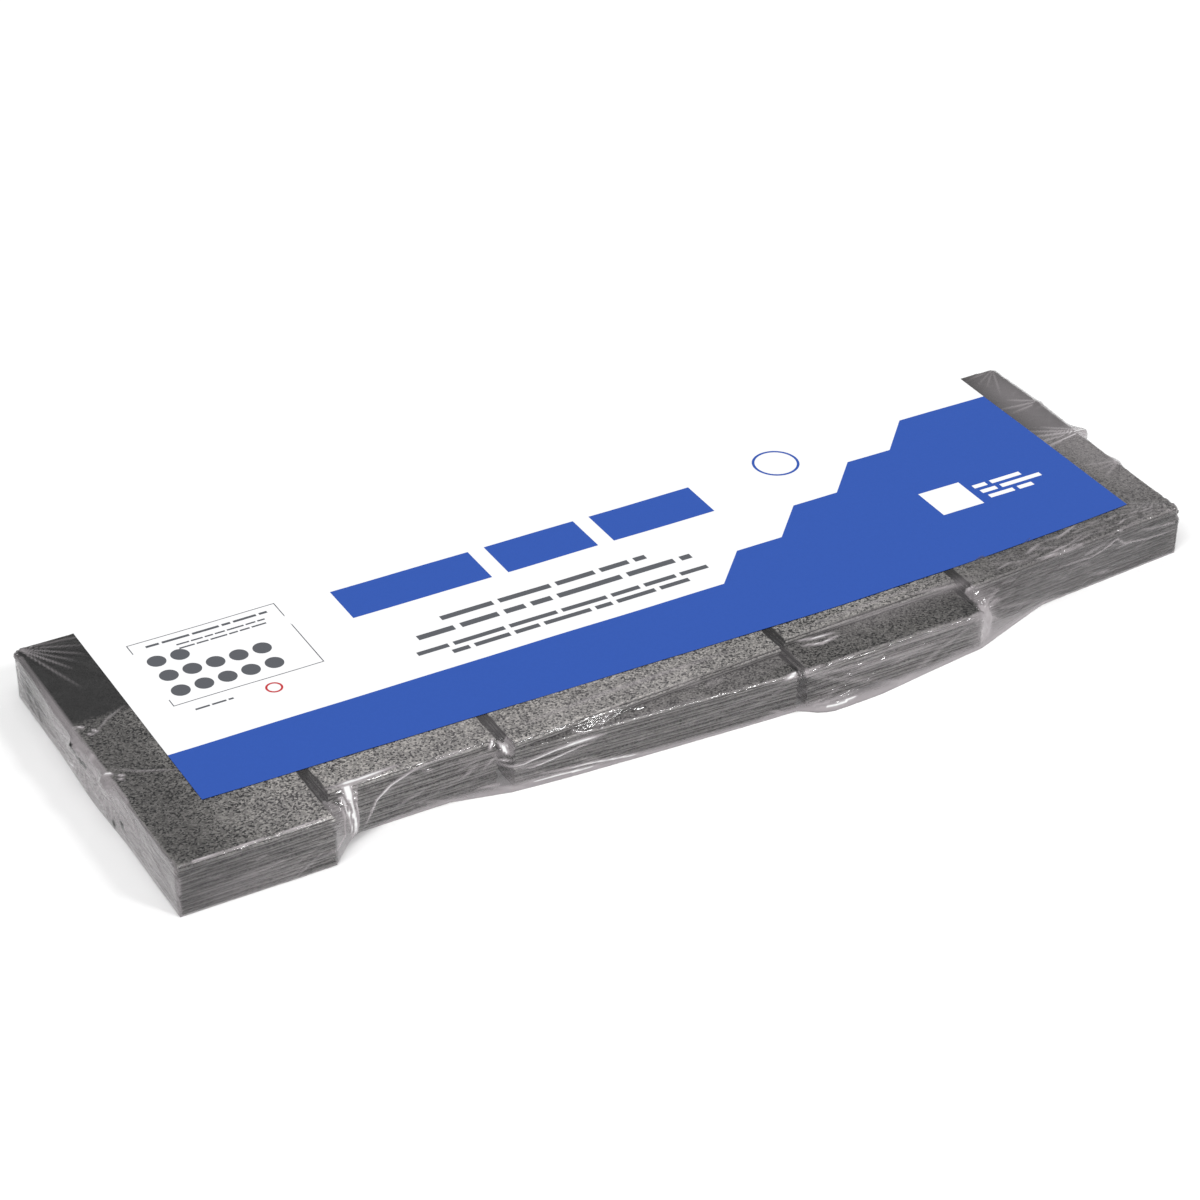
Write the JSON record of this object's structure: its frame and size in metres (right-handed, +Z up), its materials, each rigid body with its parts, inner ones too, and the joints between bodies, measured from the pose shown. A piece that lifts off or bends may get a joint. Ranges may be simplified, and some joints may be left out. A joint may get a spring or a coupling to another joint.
{
  "type": "asphalt shingle bundle",
  "caption": "Flat bundle of asphalt roofing shingles with uneven square tabs, shrink-wrapped in clear film, with a plain blue and white sheet on top.",
  "frame": {"origin": "middle of the bundle's underside, on the floor", "axes": "+X along the shingles, +Y from the tabs' side to the plain long side, +Z up"},
  "size_m": [1.0018, 0.3378, 0.0483],
  "materials": {
    "shingle": "dark grey mineral granules bedded in bitumen",
    "film": "clear polyethylene shrink film, tight and creased",
    "sheet": "smooth coated paper, plain white and blue areas"
  },
  "bodies": {
    "root": {"shingle_01": "shingle", "shingle_02": "shingle", "shingle_03": "shingle", "shingle_04": "shingle", "shingle_05": "shingle", "shingle_06": "shingle", "shingle_07": "shingle", "shingle_08": "shingle", "shingle_09": "shingle", "shingle_10": "shingle", "shingle_11": "shingle", "shingle_12": "shingle", "shingle_13": "shingle", "shingle_14": "shingle", "shingle_15": "shingle", "shrink_film": "film", "printed_sheet": "sheet"}
  },
  "joints": []
}
